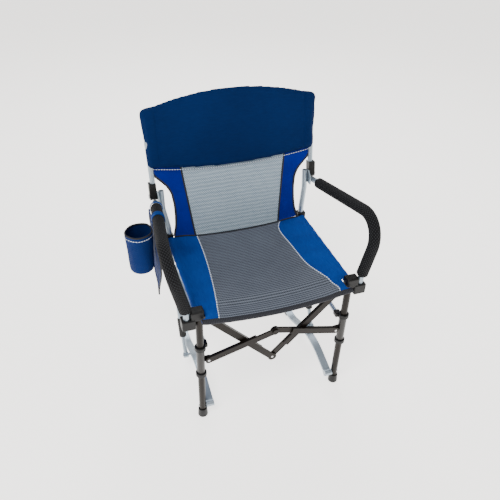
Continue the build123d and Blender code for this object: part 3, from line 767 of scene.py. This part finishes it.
navy = finish_named("head_navy_polyester", head_recipe)
grid, uv = head_grid()
band = surface("head_pad", grid, np.concatenate([uv, uv[:, :1]], 1), navy, ring=True, ends=True)
points = puffed(band, pressure=3.0, cap=0.0045, size=0.004)
local = points - np.array([MID, HINGE_Y, HINGE_Z])
x, up = local[:, 0], local @ LEAN
low, high = head_limits(x)
edge_gap = np.minimum(np.minimum(up - low, high - up), 0.287 - np.abs(x))
groove = -0.0016 * np.exp(-((edge_gap - 0.011) / 0.0022) ** 2)
post_seam = -0.0022 * np.exp(-((np.abs(x) - 0.243) / 0.003) ** 2)
crease = 0.0011 * np.sin(34 * up + 26 * x) * smooth(np.abs(x), 0.16, 0.24)
front = np.sign(local @ OUT - 0.003)
points = points + ((groove + post_seam + crease) * front)[:, None] * OUT
band.data.vertices.foreach_set("co", points.reshape(-1))
band.data.polygons.foreach_set("use_smooth", np.ones(len(band.data.polygons), bool))
band.data.update()
refine(band)
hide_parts("head_panel")
on_back(band, True)
thin_white = finish_named("thin_white_cord",
                          stitched((0.62, 0.66, 0.70), (0.10, 0.14, 0.24), PIPING_PITCH, 1.0))
x = np.linspace(-HEAD_CORD_HALF, HEAD_CORD_HALF, 160)
low, high = head_limits(x)
line = back_point(x, low - 0.0015, np.full_like(x, 0.0045))
under = hose("head_lower_piping", line, 0.0011, thin_white, across=(0, 0, 1), sides=8)
on_back(under, True)

# ---- Cup pouch ----------------------------------------------------------------------------------
# A soft cup of navy cloth beside the left arm, with a bound rim stitched in white, held by a flat
# panel that loops over the arm with a blue strap and hangs down to a point.
low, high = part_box("cup_pouch")
POUCH = np.array([(low[0] + high[0]) / 2, (low[1] + high[1]) / 2, low[2]])
POUCH_OUTSIDE = ((0.002, 0.000), (0.020, 0.000), (0.034, 0.001), (0.0388, 0.005), (0.0400, 0.014),
                 (0.0412, 0.040), (0.0420, 0.070), (0.0432, 0.100), (0.0442, 0.125),
                 (0.0448, 0.140), (0.0452, 0.146), (0.0442, 0.149))
POUCH_INSIDE = ((0.0424, 0.148), (0.0420, 0.140), (0.0412, 0.120), (0.0400, 0.080),
                (0.0385, 0.040), (0.0365, 0.010), (0.030, 0.004), (0.014, 0.003), (0.002, 0.003))
pouch_navy = finish_named("pouch_navy_polyester",
                          blue_cloth((0.0004, 0.009, 0.060), (0.0008, 0.018, 0.115)))


def pouch_grid(columns=72):
    """A wall turned round an axis: up the outside, over the rim, down the inside to the floor.

    radius = profile * (1 + small lobes of 2, 3 and 5 turns that fade to nothing at the bottom).
    """
    profile = np.array(POUCH_OUTSIDE + POUCH_INSIDE)
    gone = np.r_[0, np.cumsum(np.linalg.norm(np.diff(profile, axis=0), axis=1))]
    dense = np.linspace(0, gone[-1], 120)
    r = np.interp(dense, gone, profile[:, 0])[:, None]
    z = np.interp(dense, gone, profile[:, 1])[:, None]
    turn = np.linspace(0, 2 * np.pi, columns, endpoint=False)[None]
    lobe = (0.030 * np.sin(2 * turn + 0.6) + 0.018 * np.sin(3 * turn + 2.0)
            + 0.010 * np.sin(5 * turn + 30 * z))
    r = r * (1 - 0.02 + (lobe - 0.02) * smooth(z, 0.01, 0.14))
    tip = 0.004 * np.sin(turn + 2.4) * smooth(z, 0.08, 0.149)
    grid = np.stack([POUCH[0] + r * np.cos(turn), POUCH[1] + r * np.sin(turn),
                     POUCH[2] + z - np.abs(tip)], -1)
    uv = np.stack(np.meshgrid(dense, np.linspace(0, 0.28, columns + 1), indexing="ij"), -1)
    return grid, uv


grid, uv = pouch_grid()
pouch = surface("cup_cloth", grid[::-1], uv[::-1], pouch_navy, ring=True, ends=True)
refine(pouch)
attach(pouch, "frame_left")
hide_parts("cup_pouch")
# Two rings round the rim: (drop below it, distance outwards, thickness, finish).
rim = grid[int(np.argmax(grid[:, 0, 2]))]
outward = (rim - np.array([POUCH[0], POUCH[1], 0])) * np.array([1, 1, 0])
outward /= np.linalg.norm(outward, axis=1)[:, None]
rim_rings = ((0.0, 0.0, 0.0030, binding), (0.0115, 0.0016, 0.0012, white_piping))
for number, (drop, proud, thick, material) in enumerate(rim_rings):
    loop = rim - np.array([0, 0, drop]) + outward * proud
    loop = np.concatenate([loop, loop[:2]])
    ring = hose(f"cup_rim_{number}", loop, thick, material, across=(0, 0, 1), sides=12, flat=0.8)
    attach(ring, "frame_left")

low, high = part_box("arm_pocket")
y0, y1 = low[1], high[1]
top_z, tip_z = high[2], low[2]
v = np.linspace(0, 1, 80)[:, None]
u = np.linspace(0, 1, 40)[None]
z = tip_z + (top_z - tip_z) * v
left_y = y0 + 0.018 * smooth(-v, -0.52, -0.20) + (0.078) * smooth(-v, -0.50, 0.0)
right_y = y1 - 0.032 * smooth(-v, -0.52, 0.0)
y = left_y + (right_y - left_y) * u
flutter = 0.0022 * np.sin(38 * y + 14 * z) * (1 - v) + 0.0010 * np.sin(60 * z + 20 * y)
x = (low[0] + high[0]) / 2 + flutter
grid = np.stack([x + 0 * y, y, z + 0 * y], -1)
pocket = surface("pocket_cloth", grid, np.stack([y, z + 0 * y], -1), pouch_navy)
thicken(pocket, 0.0020)
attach(pocket, "frame_left")
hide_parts("arm_pocket")
for name, column in (("front", 0), ("rear", -1)):
    edge = hose(f"pocket_edge_{name}", grid[:, column], 0.0026, binding, sides=10, flat=0.6)
    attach(edge, "frame_left")

strap_blue = finish_named("strap_blue",
                          blue_cloth((0.002, 0.030, 0.160), (0.004, 0.060, 0.300), 0.0018))
path = arm_paths["left"]
for number, (start, stop) in enumerate(((y0 + 0.006, y0 + 0.034), (y1 - 0.036, y1 - 0.010))):
    picked = path[(path[:, 1] > start) & (path[:, 1] < stop)]
    along, first, second = frames(picked, np.array([1.0, 0, 0]))
    angle = np.linspace(0, 2 * np.pi, 40, endpoint=False)
    ring_r = 0.0188 + 0.0004 * np.sin(3 * angle + number)
    grid = picked[:, None] + ring_r[:, None] * (first[:, None] * np.cos(angle)[:, None]
                                                + second[:, None] * np.sin(angle)[:, None])
    uv = np.stack(np.meshgrid(picked[:, 1], np.linspace(0, 0.12, 41), indexing="ij"), -1)
    loop = surface(f"arm_strap_{number}", grid, uv, strap_blue, ring=True)
    thicken(loop, offset=1)
    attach(loop, "frame_left")

# ---- Floor, light and camera --------------------------------------------------------------------
# A plain pale floor, with a key, a fill and a rear lamp as soft studio light.  The camera looks
# down on the chair from its front left.
bpy.ops.mesh.primitive_plane_add(size=30)
floor = bpy.context.object
floor.name = "studio_floor"


def floor_recipe(place, cloth):
    cloud = place.noise(1.5, 2)
    return {"Base Color": cloud.mix((0.90, 0.885, 0.865), (0.93, 0.915, 0.895)), "Roughness": 0.8,
            "Emission Color": (1.0, 0.975, 0.94), "Emission Strength": 1.8}


floor.data.materials.append(finish_named("pale_floor", floor_recipe))

world = bpy.data.worlds.new("studio_air")
bpy.context.scene.world = world
world.use_nodes = True
world.node_tree.nodes["Background"].inputs["Color"].default_value = (1.0, 0.985, 0.97, 1)
world.node_tree.nodes["Background"].inputs["Strength"].default_value = 0.50
LAMPS = (("key", (-1.3, -1.2, 3.0), 1.4, 85), ("fill", (2.6, -0.8, 2.2), 2.0, 26),
         ("rear", (0.6, 2.4, 2.6), 1.6, 60))
LAMPS_AIM = (0.03, 0, 0.4)
for name, place, size, power in LAMPS:
    lamp = bpy.data.lights.new(name, "AREA")
    lamp.energy = power
    lamp.size = size
    holder = bpy.data.objects.new(name, lamp)
    bpy.context.scene.collection.objects.link(holder)
    holder.location = place
    aim = Vector(LAMPS_AIM) - Vector(place)
    holder.rotation_euler = aim.to_track_quat("-Z", "Y").to_euler()

YAW, PITCH, ROLL = np.radians([19.637, 36.869, 1.632])
SENSOR = 36
FOCAL = 542.4 / 500
SHIFT = (1.57 / 500, -0.31 / 500)
CAMERA_PLACE = (MID - 0.482, FRONT - 1.090, 1.514)
toward = np.array([np.sin(YAW) * np.cos(PITCH), np.cos(YAW) * np.cos(PITCH), -np.sin(PITCH)])
level = np.array([np.cos(YAW), -np.sin(YAW), 0])
over = np.cross(level, toward)
camera_x = np.cos(ROLL) * level + np.sin(ROLL) * over
camera_y = -np.sin(ROLL) * level + np.cos(ROLL) * over
camera_data = bpy.data.cameras.new("studio_camera")
camera_data.sensor_width = SENSOR
camera_data.lens = FOCAL * SENSOR
camera_data.shift_x, camera_data.shift_y = SHIFT
camera = bpy.data.objects.new("studio_camera", camera_data)
bpy.context.scene.collection.objects.link(camera)
turned = Matrix(np.array([camera_x, camera_y, -toward]).T.tolist()).to_4x4()
turned.translation = Vector(CAMERA_PLACE)
camera.matrix_world = turned
bpy.context.scene.camera = camera
